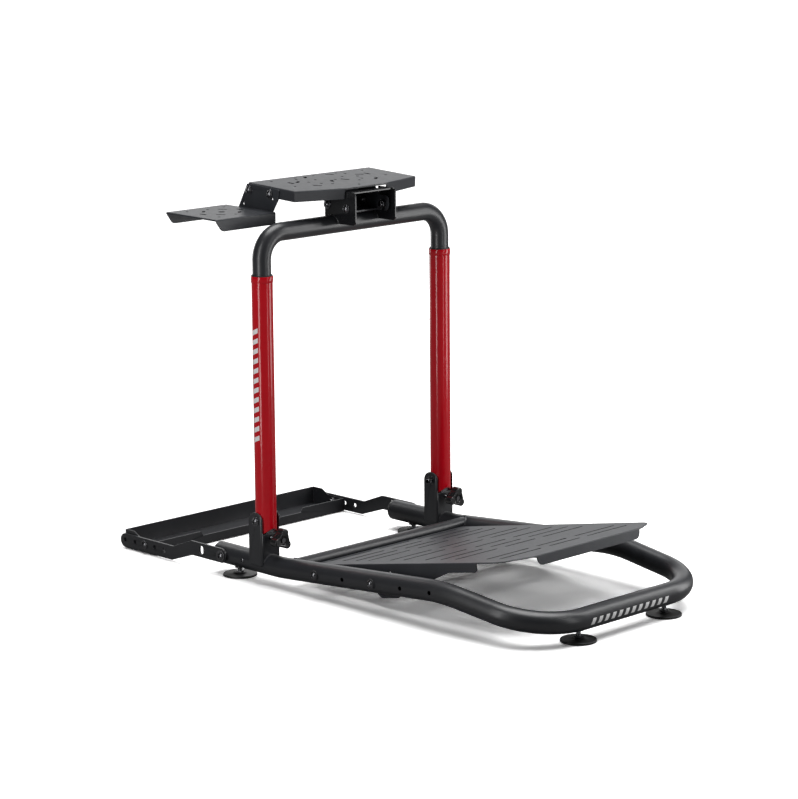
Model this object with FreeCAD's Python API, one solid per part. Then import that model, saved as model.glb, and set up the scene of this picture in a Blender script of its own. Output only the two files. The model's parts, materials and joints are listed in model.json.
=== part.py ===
"""Folding sim-racing wheel stand: one STEP file per physical piece.

Frame: +X is the driver's right, +Y points forwards to the pedals, +Z is up.
The origin is on the floor, midway between the two uprights. Millimetres.
"""
import FreeCAD
import Part
import math
import os

V = FreeCAD.Vector
X_AXIS, Y_AXIS, Z_AXIS = V(1, 0, 0), V(0, 1, 0), V(0, 0, 1)
SIDES = ((1, "right"), (-1, "left"))

# Tubes
TRACK = 440.0                 # between the two rail axes, and between the uprights
HALF = TRACK / 2
TUBE_R, TUBE_WALL = 19.0, 1.5  # rails and red uprights
INNER_R = 16.5                # black telescoping tube
CROSS_R = 11.0

# Base frame: level rear, then a gentle rise, then a drop into the front bar
RAIL_Z = 34.6
RAIL_REAR_Y = -122.5
RISE_START_Y, RISE_END_Y, RISE_TOP_Z = 40.0, 440.0, 66.6
FRONT_Y, FRONT_Z, FRONT_CORNER_X = 652.0, 38.8, 207.0
GENTLE_BEND, FRONT_BEND = 320.0, 102.0
RISE = (RISE_TOP_Z - RAIL_Z) / (RISE_END_Y - RISE_START_Y)
CROSS_Y, CROSS_Z = 70.0, 44.0

# Pivot brackets and uprights
PIVOT_Y, PIVOT_Z = -3.5, 115.0
CHEEK_GAP, CHEEK_T, CHEEK_R = 19.4, 2.6, 15.5   # cheek plates each side of the tube
WEB_FRONT_Y, WEB_TOP_Z, CHEEK_REAR_Y, FOLD_R = 13.0, 92.0, -22.5, 5.6
UPRIGHT_TOP, UPRIGHT_END_R = 553.0, 25.5
LOCK_HEIGHTS = (301.0, 417.0)
SPARE_HOLE_Z = 528.0
KNOB_Z, KNOB_Y, KNOB_R, KNOB_T = 85.0, 31.0, 20.5, 16.0

# Height frame
BAR_Z, U_BEND, LEG_BOTTOM = 626.0, 46.0, 160.0

# Tilting wheel deck
TILT_Y, TILT_Z = -12.0, 661.0
TILT_LOCK_Y, TILT_LOCK_Z = 37.0, 657.0
EAR_X, EAR_T, HANGER_X = 47.5, 3.0, 43.8
DECK_ANGLE, DECK_ZERO_Z, DECK_T = -3.0, 695.4, 3.0
DECK_HALF, DECK_REAR, DECK_SIDE_FRONT, DECK_FRONT, DECK_NOSE = 149.0, -111.0, 10.0, 36.5, 51.0
DECK_FLANGE = 19.5

# Shifter plate
SHIFT_ANGLE, SHIFT_T, SHIFT_OUT_X = -0.75, 3.0, 290.5
SHIFT_REAR, SHIFT_FRONT, SHIFT_TOP_Z, SHIFT_FLANGE = -172.0, -37.0, 655.5, 22.0
SHIFT_BOLTS = ((-107.0, 688.0), (-52.5, 685.5))

# Pedal plate
PEDAL_ANGLE, PEDAL_ZERO_Z, PEDAL_T = 10.87, 26.5, 2.5
PEDAL_HALF, PEDAL_REAR, PEDAL_CHAMFER, PEDAL_FRONT, PEDAL_NOSE = 191.0, 86.0, 549.0, 581.4, 134.5
PEDAL_ROWS = (102, 136, 170, 203, 258, 291, 346, 384, 419, 494, 524)
PEDAL_PIVOT_Y, PEDAL_LOCK_Y = 144.0, 286.0
SPARE_RAIL_HOLES = (215.0, 357.0, 427.0)

# Castor tray and its arms
ARM_IN, ARM_T = 239.6, 4.0
ARM_PIVOT_Y, ARM_LOW_Z, ARM_END_Y, ARM_HALF_H = -98.0, 15.6, -371.0, 13.4
TRAY_REAR, TRAY_LIP, TRAY_HALF, TRAY_T = -375.0, -286.0, 239.2, 2.0
TRAY_WALL_Z, TRAY_LIP_Z, TRAY_MID_Z, TRAY_FLOOR_Z = 36.0, 26.5, 18.0, 1.5
TRAY_BOLT_Y, TRAY_BOLT_Z, ARM_HOLE_PITCH = -314.0, 17.0, 28.5

# Levelling feet
FOOT_R, FOOT_T, FOOT_STEM_R = 31.0, 4.0, 4.0
FEET = (("rear_right", HALF, -73.0, RAIL_Z), ("rear_left", -HALF, -73.0, RAIL_Z),
        ("front_right", 108.5, 645.0, FRONT_Z), ("front_left", -108.5, 645.0, FRONT_Z))

BOLT_R, RUN_FIT, WASHER_R = 4.0, 0.08, 8.5


# ---------------------------------------------------------------- helpers
def save(name, *solids):
    """Write one node; several solids make a group of separate pieces."""
    shape = solids[0] if len(solids) == 1 else Part.makeCompound(list(solids))
    shape.exportStep("parts/%s.step" % name)
    print("%-26s %d solid(s) %9.0f mm3" % (name, len(shape.Solids), shape.Volume))


def box(x0, x1, y0, y1, z0, z1):
    return Part.makeBox(x1 - x0, y1 - y0, z1 - z0, V(x0, y0, z0))


def rod(r, start, end):
    axis = end - start
    return Part.makeCylinder(r, axis.Length, start, axis)


def pipe(r_out, r_in, start, end):
    return rod(r_out, start, end).cut(rod(r_in, start, end))


def route(points, radii):
    """A wire of straight runs joined by tangent arcs, one radius per inner point."""
    edges = []
    here = points[0]
    for i, r in enumerate(radii, start=1):
        a, b, c = points[i - 1], points[i], points[i + 1]
        back, ahead = (a - b).normalize(), (c - b).normalize()
        half = back.getAngle(ahead) / 2
        cut = r / math.tan(half)
        start, end = b + back * cut, b + ahead * cut
        centre = b + (back + ahead).normalize() * (r / math.sin(half))
        middle = centre + (b - centre).normalize() * r
        edges += [Part.LineSegment(here, start).toShape(), Part.Arc(start, middle, end).toShape()]
        here = end
    edges.append(Part.LineSegment(here, points[-1]).toShape())
    return Part.Wire(edges)


def swept(wire, r, start, direction):
    profile = Part.Wire([Part.makeCircle(r, start, direction)])
    return wire.makePipeShell([profile], True, False)


def bent_tube(points, radii, r_out, wall):
    """A bent round tube, and the solid bar that fills it."""
    wire = route(points, radii)
    direction = points[1] - points[0]
    outer = swept(wire, r_out, points[0], direction)
    return outer.cut(swept(wire, r_out - wall, points[0], direction)), outer


def outline(points, radii=None):
    """A closed face through the points, with its corners rounded where a radius is given."""
    radii = radii or [0] * len(points)
    count = len(points)
    edges = []
    exits = []
    for i in range(count):
        a, b, c = points[i - 1], points[i], points[(i + 1) % count]
        if not radii[i]:
            exits.append((b, b, None))
            continue
        back, ahead = (a - b).normalize(), (c - b).normalize()
        half = back.getAngle(ahead) / 2
        cut = radii[i] / math.tan(half)
        centre = b + (back + ahead).normalize() * (radii[i] / math.sin(half))
        exits.append((b + back * cut, b + ahead * cut, centre + (b - centre).normalize() * radii[i]))
    for i in range(count):
        start, end, middle = exits[i]
        if middle:
            edges.append(Part.Arc(start, middle, end).toShape())
        following = exits[(i + 1) % count][0]
        if end.distanceToPoint(following) > 1e-6:
            edges.append(Part.LineSegment(end, following).toShape())
    return Part.Face(Part.Wire(edges))


def plate_yz(x0, x1, points, radii=None):
    return outline([V(x0, y, z) for y, z in points], radii).extrude(V(x1 - x0, 0, 0))


def plate_xy(z0, z1, points, radii=None):
    return outline([V(x, y, z0) for x, y in points], radii).extrude(V(0, 0, z1 - z0))


def plate_xz(y0, y1, points, radii=None):
    return outline([V(x, y0, z) for x, z in points], radii).extrude(V(0, y1 - y0, 0))


def slot_xy(x, y, length, width, z0, z1, angle=0.0):
    """A round-ended cutter along local X, turned by an angle about Z."""
    run = length / 2 - width / 2
    body = box(-run, run, -width / 2, width / 2, z0, z1)
    ends = [rod(width / 2, V(s * run, 0, z0), V(s * run, 0, z1)) for s in (-1, 1)]
    cutter = body.fuse(ends)
    cutter.rotate(V(0, 0, 0), Z_AXIS, angle)
    cutter.translate(V(x, y, 0))
    return cutter


def tilted(shape, angle, zero_z):
    """Turn a plate that was drawn flat about X, and lift it to its height above the origin."""
    shape.rotate(V(0, 0, 0), X_AXIS, angle)
    shape.translate(V(0, 0, zero_z))
    return shape


def round_folds(shape, radius, test):
    """Round the straight edges whose middle passes the test."""
    picked = [e for e in shape.Edges if test(e.valueAt((e.FirstParameter + e.LastParameter) / 2), e)]
    return shape.makeFillet(radius, picked) if picked else shape


def hexagon(across, start, end):
    """A hexagonal bar, flat to flat, from start to end along X, Y or Z."""
    axis = (end - start).normalize()
    side = Z_AXIS if abs(axis.z) < 0.5 else X_AXIS
    other = axis.cross(side)
    r = across / math.sqrt(3)
    corners = [start + side * (r * math.cos(math.radians(60 * k)))
               + other * (r * math.sin(math.radians(60 * k))) for k in range(6)]
    return outline(corners).extrude(end - start)


def button_bolt(under_head, out, length, r=BOLT_R, head_r=6.8, head_h=4.2):
    """A socket button-head bolt: out points from the joint towards the head."""
    shank = rod(r, under_head - out * length, under_head)
    drum = rod(head_r, under_head, under_head + out * head_h)
    ball_r = (head_r ** 2 + head_h ** 2) / (2 * head_h) * 1.03
    ball = Part.makeSphere(ball_r, under_head + out * (head_h - ball_r))
    socket = hexagon(4.6, under_head + out * (head_h - 2.4), under_head + out * (head_h + 1))
    return shank.fuse(drum.common(ball)).cut(socket)


def washer(start, out, thickness=1.6, r=WASHER_R):
    return pipe(r, BOLT_R + RUN_FIT, start, start + out * thickness)


def nut(start, out, thickness=6.4, across=13.0):
    body = hexagon(across, start, start + out * thickness)
    return body.cut(rod(BOLT_R, start - out, start + out * (thickness + 1)))


def rail_z(y):
    """Height of the rail axis on its straight level and rising stretches."""
    return RAIL_Z + RISE * max(0.0, y - RISE_START_Y)


# ---------------------------------------------------------------- base frame
def base_frame():
    half_route = [V(HALF, RAIL_REAR_Y, RAIL_Z), V(HALF, RISE_START_Y, RAIL_Z),
                  V(HALF, RISE_END_Y, RISE_TOP_Z), V(FRONT_CORNER_X, FRONT_Y, FRONT_Z)]
    points = half_route + [V(-p.x, p.y, p.z) for p in reversed(half_route)]
    bends = [GENTLE_BEND, GENTLE_BEND, FRONT_BEND]
    tube, filled = bent_tube(points, bends + bends[::-1], TUBE_R, TUBE_WALL)
    cutters = []
    for y in (PEDAL_PIVOT_Y, PEDAL_LOCK_Y):
        cutters.append(rod(BOLT_R, V(-300, y, rail_z(y)), V(300, y, rail_z(y))))
    for y in SPARE_RAIL_HOLES:
        cutters.append(rod(BOLT_R - 0.2, V(-300, y, rail_z(y)), V(300, y, rail_z(y))))
    for _, x, y, z in FEET:
        cutters.append(rod(6.5, V(x, y, z - TUBE_R - 4), V(x, y, z)))
    for side, _ in SIDES:
        cutters.append(rod(2.5, V(side * HALF, -45, RAIL_Z + 1), V(side * 300, -45, RAIL_Z + 1)))
        cutters.append(rod(BOLT_R, V(side * HALF, ARM_PIVOT_Y, RAIL_Z), V(side * 300, ARM_PIVOT_Y, RAIL_Z)))
    tube = tube.cut(cutters)
    save("base_tube", tube)

    cross = pipe(CROSS_R, CROSS_R - TUBE_WALL, V(-HALF, CROSS_Y, CROSS_Z), V(HALF, CROSS_Y, CROSS_Z))
    save("cross_tube", cross.cut(filled))

    caps = []
    rivets = []
    for side, _ in SIDES:
        end = V(side * HALF, RAIL_REAR_Y, RAIL_Z)
        flange = rod(TUBE_R, end - Y_AXIS * 4, end)
        flange = flange.makeFillet(2.5, [flange.Edges[0]] if flange.Edges[0].CenterOfMass.y < end.y - 2
                                   else [flange.Edges[2]])
        bore = rod(13.0, end + Y_AXIS * 2, end + Y_AXIS * 30)
        caps.append(flange.fuse(rod(TUBE_R - TUBE_WALL, end, end + Y_AXIS * 10)).cut(bore))
        face = V(side * (HALF + TUBE_R), -45, RAIL_Z + 1)
        rivets.append(button_bolt(face, X_AXIS * side, 6.0, r=2.5, head_r=4.2, head_h=2.2))
    save("rail_end_caps", *caps)
    save("rail_screws", *rivets)
    return filled


def pivot_bracket(side, rail):
    """A folded channel: two cheeks round the pivot bolt and a web at the front, open to the rear."""
    cx = side * HALF
    outer = CHEEK_GAP + CHEEK_T
    bottom = RAIL_Z + 1.0
    top = PIVOT_Z + CHEEK_R
    front = WEB_FRONT_Y
    section = [(cx - outer, CHEEK_REAR_Y), (cx - outer, front),
               (cx + outer, front), (cx + outer, CHEEK_REAR_Y),
               (cx + CHEEK_GAP, CHEEK_REAR_Y), (cx + CHEEK_GAP, front - CHEEK_T),
               (cx - CHEEK_GAP, front - CHEEK_T), (cx - CHEEK_GAP, CHEEK_REAR_Y)]
    inner_fold = FOLD_R - CHEEK_T
    body = plate_xy(bottom, top, section, [0, FOLD_R, FOLD_R, 0, 0, inner_fold, inner_fold, 0])
    cheek = [(CHEEK_REAR_Y, bottom), (front, bottom), (front, WEB_TOP_Z + 8), (PIVOT_Y + CHEEK_R, top),
             (CHEEK_REAR_Y, top)]
    body = body.common(plate_yz(cx - outer, cx + outer, cheek, [4, 0, 0, CHEEK_R - 0.5, CHEEK_R + 1.5]))
    notch = [(cx - CHEEK_GAP, top + 5), (cx - CHEEK_GAP, WEB_TOP_Z), (cx + CHEEK_GAP, WEB_TOP_Z),
             (cx + CHEEK_GAP, top + 5)]
    window = plate_xz(front - FOLD_R - 1, front + 1, notch, [0, 2.8, 2.8, 0])
    pivot = rod(BOLT_R, V(cx - 30, PIVOT_Y, PIVOT_Z), V(cx + 30, PIVOT_Y, PIVOT_Z))
    stud = rod(BOLT_R + RUN_FIT, V(cx, 0, KNOB_Z), V(cx, 30, KNOB_Z))
    return body.cut([window, pivot, stud, rail])


def pivot_hardware():
    bolts, washers, nuts = [], [], []
    for side, _ in SIDES:
        cx = side * HALF
        face = CHEEK_GAP + CHEEK_T
        for s, is_head in ((side, True), (-side, False)):
            seat = V(cx + s * face, PIVOT_Y, PIVOT_Z)
            out = X_AXIS * s
            washers.append(washer(seat, out))
            if is_head:
                bolts.append(button_bolt(seat + out * 1.6, out, 2 * face + 12))
            else:
                nuts.append(nut(seat + out * 1.6, out))
    save("pivot_bolts", *bolts)
    save("pivot_washers", *washers)
    save("pivot_nuts", *nuts)


def rail_hardware():
    """Bolts that hold the pedal plate and the tray arms to the rails."""
    bolts, nuts, spacers, arm_bolts, arm_washers, inserts = [], [], [], [], [], []
    for side, _ in SIDES:
        out = X_AXIS * side
        for y in (PEDAL_PIVOT_Y, PEDAL_LOCK_Y):
            z = rail_z(y)
            seat = V(side * (HALF + TUBE_R), y, z)
            inner = V(side * (HALF - TUBE_R), y, z)
            flange = side * PEDAL_HALF
            bolts.append(button_bolt(seat + out * 1.6, out, HALF + TUBE_R - PEDAL_HALF + 14))
            spacers.append(washer(seat, out, 1.6, 9.5))
            gap = HALF - TUBE_R - PEDAL_HALF - 0.3
            spacers.append(pipe(7.0, BOLT_R + RUN_FIT, inner, inner - out * gap))
            nuts.append(nut(V(flange - side * (PEDAL_T + 0.3), y, z), out * -1, 5.0))
        seat = V(side * (ARM_IN + ARM_T + 0.2), ARM_PIVOT_Y, RAIL_Z)
        arm_washers.append(washer(seat, out, 1.6, 10.5))
        arm_bolts.append(button_bolt(seat + out * 1.6, out, 20))
        shoulder = V(side * (HALF + math.sqrt((TUBE_R - TUBE_WALL) ** 2 - 36) - 0.05), ARM_PIVOT_Y, RAIL_Z)
        inserts.append(pipe(6.0, BOLT_R, shoulder, shoulder - out * 12))
    save("pedal_bolts", *bolts)
    save("pedal_spacers", *spacers)
    save("tray_arm_bolts", *arm_bolts)
    save("tray_arm_washers", *arm_washers)
    save("tray_arm_inserts", *inserts)
    save("rail_nuts", *nuts)


def feet(rail):
    inserts = []
    for name, x, y, z in FEET:
        under = z - TUBE_R
        pad = rod(FOOT_R, V(x, y, 0), V(x, y, FOOT_T))
        rims = [e for e in pad.Edges if e.Curve.TypeId == "Part::GeomCircle"]
        pad = pad.makeFillet(1.2, rims)
        hub = Part.makeCone(12.0, 7.5, 3.0, V(x, y, FOOT_T - 0.5), Z_AXIS)
        save("foot_pad_" + name, pad.fuse(hub).cut(rod(BOLT_R, V(x, y, 2.5), V(x, y, 20))))
        stem = rod(FOOT_STEM_R, V(x, y, 2.5), V(x, y, under + 16))
        collar = hexagon(13.0, V(x, y, FOOT_T + 2.5), V(x, y, FOOT_T + 5.5))
        save("foot_stem_" + name, stem, collar.cut(rod(BOLT_R, V(x, y, 0), V(x, y, 30))))
        flange = rod(9.0, V(x, y, under - 1.4), V(x, y, under + 4))
        neck = rod(6.5, V(x, y, under - 1.4), V(x, y, under + 10))
        insert = flange.cut(rail).fuse(neck)
        inserts.append(insert.cut(rod(FOOT_STEM_R + RUN_FIT, V(x, y, 0), V(x, y, 60))))
    save("foot_inserts", *inserts)


# ---------------------------------------------------------------- uprights
def upright(side):
    """Red outer tube: its lower end is rounded about the pivot so that it can fold."""
    cx = side * HALF
    low = V(cx, 0, PIVOT_Z - UPRIGHT_END_R - 2)
    top = V(cx, 0, UPRIGHT_TOP)
    tube = pipe(TUBE_R, TUBE_R - TUBE_WALL, low, top)
    end = rod(UPRIGHT_END_R, V(cx - 30, PIVOT_Y, PIVOT_Z), V(cx + 30, PIVOT_Y, PIVOT_Z))
    above = box(cx - 30, cx + 30, -30, 30, PIVOT_Z, UPRIGHT_TOP)
    tube = tube.common(end.fuse(above))
    tube = tube.cut(rod(BOLT_R + RUN_FIT, V(cx - 30, PIVOT_Y, PIVOT_Z), V(cx + 30, PIVOT_Y, PIVOT_Z)))
    holes = [rod(BOLT_R, V(cx, -30, z), V(cx, -10, z)) for z in LOCK_HEIGHTS]
    holes.append(rod(3.0, V(cx, -30, SPARE_HOLE_Z), V(cx, -17, SPARE_HOLE_Z)))
    return tube.cut(holes)


def upright_pieces():
    bore = TUBE_R - TUBE_WALL
    collars, bushes, sleeves, tongues, bosses, bolts = [], [], [], [], [], []
    for side, name in SIDES:
        cx = side * HALF
        save("upright_" + name, upright(side))
        collars.append(pipe(TUBE_R + 0.9, TUBE_R, V(cx, 0, UPRIGHT_TOP - 11), V(cx, 0, UPRIGHT_TOP)))
        bush = pipe(bore, INNER_R + 0.1, V(cx, 0, SPARE_HOLE_Z - 60), V(cx, 0, UPRIGHT_TOP))
        lip = pipe(TUBE_R - 0.3, INNER_R + 0.1, V(cx, 0, UPRIGHT_TOP), V(cx, 0, UPRIGHT_TOP + 2))
        bushes.append(bush.fuse(lip))
        reach = math.sqrt(bore ** 2 - (abs(PIVOT_Y) + 6) ** 2)
        sleeves.append(pipe(6.0, BOLT_R + RUN_FIT, V(cx - reach, PIVOT_Y, PIVOT_Z),
                            V(cx + reach, PIVOT_Y, PIVOT_Z)))
        plug_z = PIVOT_Z - 12.5
        plug = rod(bore, V(cx, 0, plug_z), V(cx, 0, plug_z + 4))
        tongues += [plug, box(cx - 9, cx + 9, -4.0, WEB_FRONT_Y - CHEEK_T - 1.0, KNOB_Z - 11, plug_z)]
        for z in LOCK_HEIGHTS:
            seat = V(cx, -TUBE_R - 3.2, z)
            ring = Part.makeCone(7.2, 5.4, 4.6, V(cx, -TUBE_R + 1.4, z), V(0, -1, 0))
            ring = ring.cut([rod(TUBE_R, V(cx, 0, z - 20), V(cx, 0, z + 20)),
                             rod(BOLT_R, V(cx, -40, z), V(cx, 0, z))])
            bosses.append(ring)
            bolts.append(button_bolt(seat, V(0, -1, 0), 4.4, head_r=5.4, head_h=3.4))
    save("upright_collars", *collars)
    save("guide_bushes", *bushes)
    save("pivot_sleeves", *sleeves)
    save("lock_tongues", *tongues)
    save("height_lock_bosses", *bosses)
    save("height_lock_bolts", *bolts)


def lock_knob(side):
    """Three-lobed hand knob with a steel insert, turning about Y."""
    cx = side * HALF
    y0, y1 = KNOB_Y, KNOB_Y + KNOB_T
    lobe_r = 7.5
    orbit = KNOB_R - lobe_r
    body = rod(9.0, V(cx, y0 - 7, KNOB_Z), V(cx, y1, KNOB_Z))
    for k in range(3):
        a = math.radians(106 + 120 * k)
        lx, lz = cx + orbit * math.cos(a), KNOB_Z + orbit * math.sin(a)
        body = body.fuse(rod(lobe_r, V(lx, y0, lz), V(lx, y1, lz)))
        nx, nz = -math.sin(a), math.cos(a)
        arm = [V(cx + s * 7.5 * nx, y0, KNOB_Z + s * 7.5 * nz) for s in (-1, 1)]
        tip = [V(lx + s * lobe_r * nx, y0, lz + s * lobe_r * nz) for s in (1, -1)]
        body = body.fuse(outline(arm + tip).extrude(V(0, KNOB_T, 0)))
    return body.removeSplitter()


def knobs():
    for side, name in SIDES:
        cx = side * HALF
        pocket = rod(6.0, V(cx, KNOB_Y + KNOB_T - 3, KNOB_Z), V(cx, KNOB_Y + KNOB_T + 1, KNOB_Z))
        hole = rod(BOLT_R, V(cx, 0, KNOB_Z), V(cx, KNOB_Y + KNOB_T, KNOB_Z))
        save("knob_" + name, lock_knob(side).cut([pocket, hole]))
        tip = V(cx, WEB_FRONT_Y - CHEEK_T - 0.7, KNOB_Z)
        stud = rod(BOLT_R, tip, V(cx, KNOB_Y + KNOB_T - 3, KNOB_Z))
        head = hexagon(8.0, V(cx, KNOB_Y + KNOB_T - 3, KNOB_Z), V(cx, KNOB_Y + KNOB_T - 0.5, KNOB_Z))
        save("knob_stud_" + name, stud.fuse(head))


# ---------------------------------------------------------------- height frame
def height_frame():
    points = [V(HALF, 0, LEG_BOTTOM), V(HALF, 0, BAR_Z), V(-HALF, 0, BAR_Z), V(-HALF, 0, LEG_BOTTOM)]
    tube, filled = bent_tube(points, [U_BEND, U_BEND], INNER_R, TUBE_WALL)
    save("inner_u_tube", tube)
    glides = []
    for side, _ in SIDES:
        low = V(side * HALF, 0, LEG_BOTTOM)
        glides.append(pipe(TUBE_R - TUBE_WALL - 0.25, INNER_R, low, low + Z_AXIS * 30))
    save("leg_glides", *glides)

    ear = [(-19, BAR_Z), (-19, 673), (16, 673), (16, 687), (60, 687), (60, 633), (55, 628), (0, 628)]
    edge = EAR_X + EAR_T
    body = box(-edge, edge, 38, 53, 687 - EAR_T, 687)
    for s in (-1, 1):
        body = body.fuse(plate_yz(s * EAR_X, s * edge, ear, [0, 4, 3, 2, 8, 4, 4, 0]))
    body = body.removeSplitter()
    body = round_folds(body, 2.6, lambda m, e: abs(abs(m.x) - edge) < 0.01 and abs(m.z - 687) < 0.01
                       and 38 < m.y < 53)
    holes = [rod(BOLT_R, V(-80, y, z), V(80, y, z)) for y, z in
             ((TILT_Y, TILT_Z), (TILT_LOCK_Y, TILT_LOCK_Z))]
    save("deck_cradle", body.cut(holes + [filled]))

    for label, y, z in (("tilt_pivot", TILT_Y, TILT_Z), ("tilt_lock", TILT_LOCK_Y, TILT_LOCK_Z)):
        bolts, washers, nuts = [], [], []
        for side, _ in SIDES:
            out = X_AXIS * side
            seat = V(side * edge, y, z)
            washers.append(washer(seat, out))
            bolts.append(button_bolt(seat + out * 1.6, out, edge - HANGER_X + EAR_T + 12))
            nuts.append(nut(V(side * (HANGER_X - EAR_T - 0.2), y, z), out * -1))
        save(label + "_bolts", *bolts)
        save(label + "_washers", *washers)
        save(label + "_nuts", *nuts)


# ---------------------------------------------------------------- wheel deck
def wheel_plate():
    """Drawn flat with its top face at z = 0, then tilted."""
    rim = [(DECK_HALF, DECK_REAR), (DECK_HALF, DECK_SIDE_FRONT), (DECK_NOSE, DECK_FRONT),
           (-DECK_NOSE, DECK_FRONT), (-DECK_HALF, DECK_SIDE_FRONT), (-DECK_HALF, DECK_REAR)]
    body = plate_xy(-DECK_T, 0, rim)
    for side, _ in SIDES:
        out = side * DECK_HALF
        flank = [(DECK_REAR, 0), (DECK_SIDE_FRONT, 0), (DECK_SIDE_FRONT, -DECK_FLANGE),
                 (DECK_REAR + 6, -DECK_FLANGE)]
        body = body.fuse(plate_yz(out - side * DECK_T, out, flank, [0, 0, 0, 5]))
        corner = V(side * DECK_HALF, DECK_SIDE_FRONT, 0)
        nose = V(side * DECK_NOSE, DECK_FRONT, 0)
        along = (nose - corner).normalize()
        nose -= along
        inward = V(-along.y * side, along.x * side, 0) * DECK_T
        skirt = [corner, nose, nose - Z_AXIS * DECK_FLANGE, corner - Z_AXIS * DECK_FLANGE]
        face = outline(skirt, [0, 0, 3, 0])
        body = body.fuse(face.extrude(inward))
    body = body.removeSplitter()
    body = round_folds(body, 2.4, lambda m, e: abs(m.z) < 0.01 and (
        abs(abs(m.x) - DECK_HALF) < 0.01 or (m.y > DECK_SIDE_FRONT + 2 and abs(m.x) > DECK_NOSE + 4))
        and e.Length > 40)
    cutters = []
    for s in (-1, 1):
        for x, y in ((60, -83), (60, -50), (33, -62), (33, -17), (50, -97), (50, -28), (112, -92), (112, -30)):
            cutters.append(rod(2.8, V(s * x, y, -10), V(s * x, y, 5)))
        for x, y, turn in ((30, -92, 50), (76, -62, 35), (72, -14, -40), (94, -60, 90), (16, -36, 60)):
            cutters.append(slot_xy(s * x, y, 17, 5.6, -10, 5, turn * s))
    for y in (-103, -45, 17):
        cutters.append(rod(2.8, V(0, y, -10), V(0, y, 5)))
    body = body.cut(cutters)
    return tilted(body, DECK_ANGLE, DECK_ZERO_Z)


def deck_hanger():
    """Pan under the wheel plate: cheeks that hang in the cradle, a rear wall and a short floor."""
    under = DECK_ZERO_Z - DECK_T / math.cos(math.radians(DECK_ANGLE))
    slope = math.tan(math.radians(DECK_ANGLE))
    front, rear = 11.0, -28.0
    crown = [(rear, under + slope * rear), (front, under + slope * front),
             (front, under + slope * front - EAR_T), (rear, under + slope * rear - EAR_T)]
    body = plate_yz(-HANGER_X, HANGER_X, crown)
    cheek = [(rear, under + slope * rear - 0.5), (front, under + slope * front - 0.5), (24, 672.5),
             (49, 672.5), (49, 645), (rear, 645)]
    for s in (-1, 1):
        body = body.fuse(plate_yz(s * (HANGER_X - EAR_T), s * HANGER_X, cheek, [0, 0, 4, 8, 10, 15.9]))
    skin = [(rear, under + slope * rear - 0.5), (rear + EAR_T, under + slope * rear - 0.6), (rear + EAR_T, 648),
            (21, 648), (21, 645), (rear, 645)]
    body = body.fuse(plate_yz(-HANGER_X, HANGER_X, skin, [0, 0, 12.9, 0, 0, 15.9])).removeSplitter()
    pivot = rod(BOLT_R + RUN_FIT, V(-80, TILT_Y, TILT_Z), V(80, TILT_Y, TILT_Z))
    return body.cut([pivot] + arc_slot(TILT_Y, TILT_Z, TILT_LOCK_Y, TILT_LOCK_Z, -13.0, 4.0, 80))


def arc_slot(py, pz, by, bz, low, high, reach, x0=None):
    """Cutters along X that sweep a bolt hole about a pivot, from low to high degrees."""
    start = V(-reach if x0 is None else x0, by, bz)
    width = BOLT_R + 0.35
    steps = max(2, int((high - low) / 2.0) + 1)
    cutters = []
    ring_r = math.hypot(by - py, bz - pz)
    base = math.degrees(math.atan2(bz - pz, by - py))
    end_x = reach
    ring = pipe(ring_r + width, ring_r - width, V(start.x, py, pz), V(end_x, py, pz))
    wedge_pts = [(py, pz)]
    for k in range(steps):
        a = math.radians(base + low + (high - low) * k / (steps - 1))
        wedge_pts.append((py + 2 * ring_r * math.cos(a), pz + 2 * ring_r * math.sin(a)))
    cutters.append(ring.common(plate_yz(start.x, end_x, wedge_pts)))
    for turn in (low, high):
        a = math.radians(base + turn)
        y, z = py + ring_r * math.cos(a), pz + ring_r * math.sin(a)
        cutters.append(rod(width, V(start.x, y, z), V(end_x, y, z)))
    return cutters


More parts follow.
